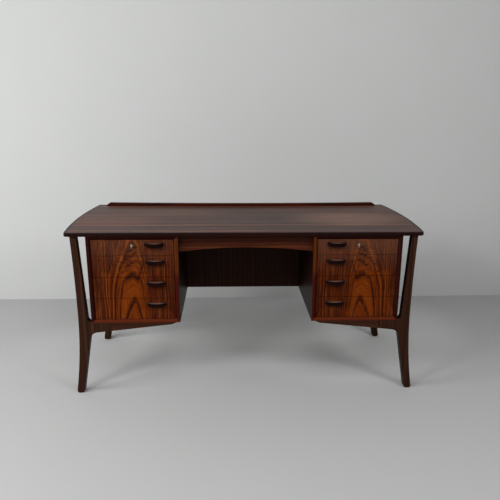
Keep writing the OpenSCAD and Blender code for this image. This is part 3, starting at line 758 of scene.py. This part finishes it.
def make_woods():
    dress(top_wood("top_veneer"), "top_board")
    lipping = straight_wood("lipping_wood", "X", 2.0, gloss=0.38, ink=0.3, tones=LIPPING_TONES)
    dress(lipping, "top_front_lipping", "top_rear_lipping")
    ends = straight_wood("end_lipping_wood", "Y", 3.0, gloss=0.38, ink=0.3, tones=LIPPING_TONES)
    dress(ends, *both("top_{}_lipping"))
    red = straight_wood(
        "back_rail_wood", "X", 5.0, gloss=0.38, ink=0.4,
        tones=((0.30, "180502"), (0.5, "320c05"), (0.7, "501c0c")))
    dress(red, "back_rail")
    for board, axis, seed, edge, changes in CASE_BOARDS:
        veneer = straight_wood(board + "_veneer", axis, seed, 0.04, edge, gloss=0.4,
                               tones=CASE_TONES, **changes)
        dress(veneer, *both("{}_" + board))
    arch = straight_wood(
        "apron_veneer", "X", 8.0, gloss=0.4, broad=60.0, fine=260.0, ink_scale=70.0,
        tones=((0.34, "1a0704"), (0.46, "3c160b"), (0.56, "66341a"), (0.66, "966038")))
    dress(arch, "apron")
    dark = straight_wood(
        "panel_veneer", "Z", 10.0, wander=0.04, gloss=0.45,
        tones=((0.25, "170905"), (0.45, "281209"), (0.6, "381a0c"), (0.8, "4a2612")))
    dress(dark, "kneehole_panel")
    shelves = straight_wood(
        "shelf_veneer", "X", 11.0, wander=0.03, gloss=0.4,
        tones=((0.25, "2e150c"), (0.45, "552a16"), (0.6, "6e3a1c"), (0.8, "855026")))
    dress(shelves, "bookcase_bottom", "bookcase_shelf")
    birch = straight_wood(
        "lining_wood", "Y", 12.0, gloss=0.5, broad=18.0, ink=0.0, cloud=0.3, pores=0.12,
        cloud_colour="b98a5a", ink_colour="7a5430",
        tones=((0.25, "a9794a"), (0.5, "c2945f"), (0.8, "d4ab78")))
    dress(birch, "drawer_runners")
    for side in SIDES:
        dress(birch, *(f"{side}_drawer_{tier}_box" for tier in TIERS))


def make_metals():
    nickel = metal("plated_steel", "b9ad9a", 0.26, "7d7060")
    brass = metal("lock_metal", "6e5a38", 0.34, "40331e")
    dress(nickel, "shelf_pins", "rail_screws", *both("{}_key"))
    dress(brass, *both("{}_lock_case"), *both("{}_lock_bolt"))


# Stage and light: places and sizes in metres

WALL_BEHIND = 1.391
WALL_HALF = 9.0
WALL_HEIGHT = 5.0
FLOOR_HALF = 20.0
# Distances between which the floor and the wall fade into the background
HAZE_REACH = (2.8, 5.5)
BACKGROUND = "b9bab9"
# Paler areas of the floor, as the eye sees it, are painted light that lifts the desk's shadow:
# middle and half lengths, and colour
PAINTED_FLOOR_LIGHT = (
    ((-0.45, 0.20), (0.70, 0.45), "c4c4c4"),
    ((0.50, 0.45), (0.70, 0.66), "d6d6d6"),
)
# Squared distances between which an area of the floor fades
FLOOR_FADE = (1.6, 0.0)
FILL_STRENGTH = 0.12
# Lamps: name, place, what they are aimed at, width and height, and power in watts
LAMPS = (
    ("window", (-3.4, -1.4, 1.8), (-0.8, 0.3, 0.8), (1.6, 1.6), 71),
    ("ceiling_softbox", (0, -2.2, 3.2), (0, 0, 0.3), (2.6, 1.6), 45),
    ("floor_lamp_left", (-1.9, -2.4, 2.2), (-1.1, -0.9, 0), (0.8, 0.8), 35),
    ("floor_lamp_right", (1.9, -2.4, 2.2), (1.1, -0.9, 0), (0.8, 0.8), 25),
)


def plane(name, corners, material):
    """Flat piece of the stage."""
    mesh = bpy.data.meshes.new(name)
    mesh.from_pydata(corners, [], [(0, 1, 2, 3)])
    mesh.materials.append(material)
    made = bpy.data.objects.new(name, mesh)
    bpy.context.collection.objects.link(made)


def seen_rays(tree):
    """1 for rays that the eye sees, also in a mirror or through glass."""
    path = tree.nodes.new("ShaderNodeLightPath")
    share = path.outputs["Is Camera Ray"]
    for kind in ("Is Glossy Ray", "Is Transmission Ray"):
        most = tree.nodes.new("ShaderNodeMath")
        most.operation = "MAXIMUM"
        tree.links.new(share, most.inputs[0])
        tree.links.new(path.outputs[kind], most.inputs[1])
        share = most.outputs[0]
    return share


def blend_shader(g, share, first, second):
    mixer = g.add("ShaderNodeMixShader")
    for socket, value in zip(mixer.inputs, (share, first.outputs[0], second.outputs[0])):
        g.put(socket, value)
    return mixer


def stage_paint(name, low_code, high_code, areas=()):
    """Paint that the eye sees fade into the background far away, and that is clear from behind."""
    g = Graph(name)
    seen = seen_rays(g.tree)
    base = g.mix(g.noise(g.place, 3.0, 3.0), colour(low_code), colour(high_code))
    # Painted light: areas of the floor that the eye sees paler, where the desk's shadow falls
    for middle, half, code in areas:
        base = g.stain(g.times(g.fit(off_middle(g, middle, half), *FLOOR_FADE), seen), base, code)
    g.set(Base_Color=base, Roughness=0.9, Specular_IOR_Level=0.1)
    x, y, _ = g.axes()
    haze = g.add("ShaderNodeEmission")
    haze.inputs["Color"].default_value = colour(BACKGROUND)
    paint = blend_shader(g, g.times(g.fit(g.length(x, y), *HAZE_REACH), seen), g.shader, haze)
    behind = g.add("ShaderNodeNewGeometry").outputs["Backfacing"]
    paint = blend_shader(g, behind, paint, g.add("ShaderNodeBsdfTransparent"))
    g.put(g.output.inputs["Surface"], paint.outputs[0])
    return g.material


def make_stage():
    wall_y = TOP_FRONT + WALL_BEHIND
    f, w, h = FLOOR_HALF, WALL_HALF, WALL_HEIGHT
    floor = [(-f, -f, 0), (f, -f, 0), (f, f, 0), (-f, f, 0)]
    wall = [(-w, wall_y, 0), (w, wall_y, 0), (w, wall_y, h), (-w, wall_y, h)]
    plane("floor", floor, stage_paint("floor_paint", "b2b2b2", "b5b5b5", PAINTED_FLOOR_LIGHT))
    plane("backdrop", wall, stage_paint("wall_paint", "caccca", "cdcecd"))


def area_light(name, place, target, size, power):
    data = bpy.data.lights.new(name, "AREA")
    data.shape = "RECTANGLE"
    data.size, data.size_y = size
    data.energy = power
    lamp = bpy.data.objects.new(name, data)
    lamp.location = place
    aim = Vector(target) - Vector(place)
    lamp.rotation_euler = aim.to_track_quat("-Z", "Y").to_euler()
    bpy.context.collection.objects.link(lamp)


def make_light():
    world = bpy.data.worlds.new("studio")
    bpy.context.scene.world = world
    world.use_nodes = True
    tree = world.node_tree
    tree.nodes.clear()
    output, mixer, light, seen = (tree.nodes.new("ShaderNode" + kind) for kind in (
        "OutputWorld", "MixShader", "Background", "Background"))
    light.inputs["Color"].default_value = (1.0, 1.0, 1.0, 1.0)
    light.inputs["Strength"].default_value = FILL_STRENGTH
    seen.inputs["Color"].default_value = colour(BACKGROUND)
    for start, end in (
        (seen_rays(tree), mixer.inputs[0]),
        (light.outputs[0], mixer.inputs[1]),
        (seen.outputs[0], mixer.inputs[2]),
        (mixer.outputs[0], output.inputs["Surface"]),
    ):
        tree.links.new(start, end)
    for lamp in LAMPS:
        area_light(*lamp)


make_camera()
make_woods()
make_fronts()
make_legs()
make_metals()
make_stage()
make_light()

scene_view = bpy.context.scene.view_settings
scene_view.view_transform = "Standard"
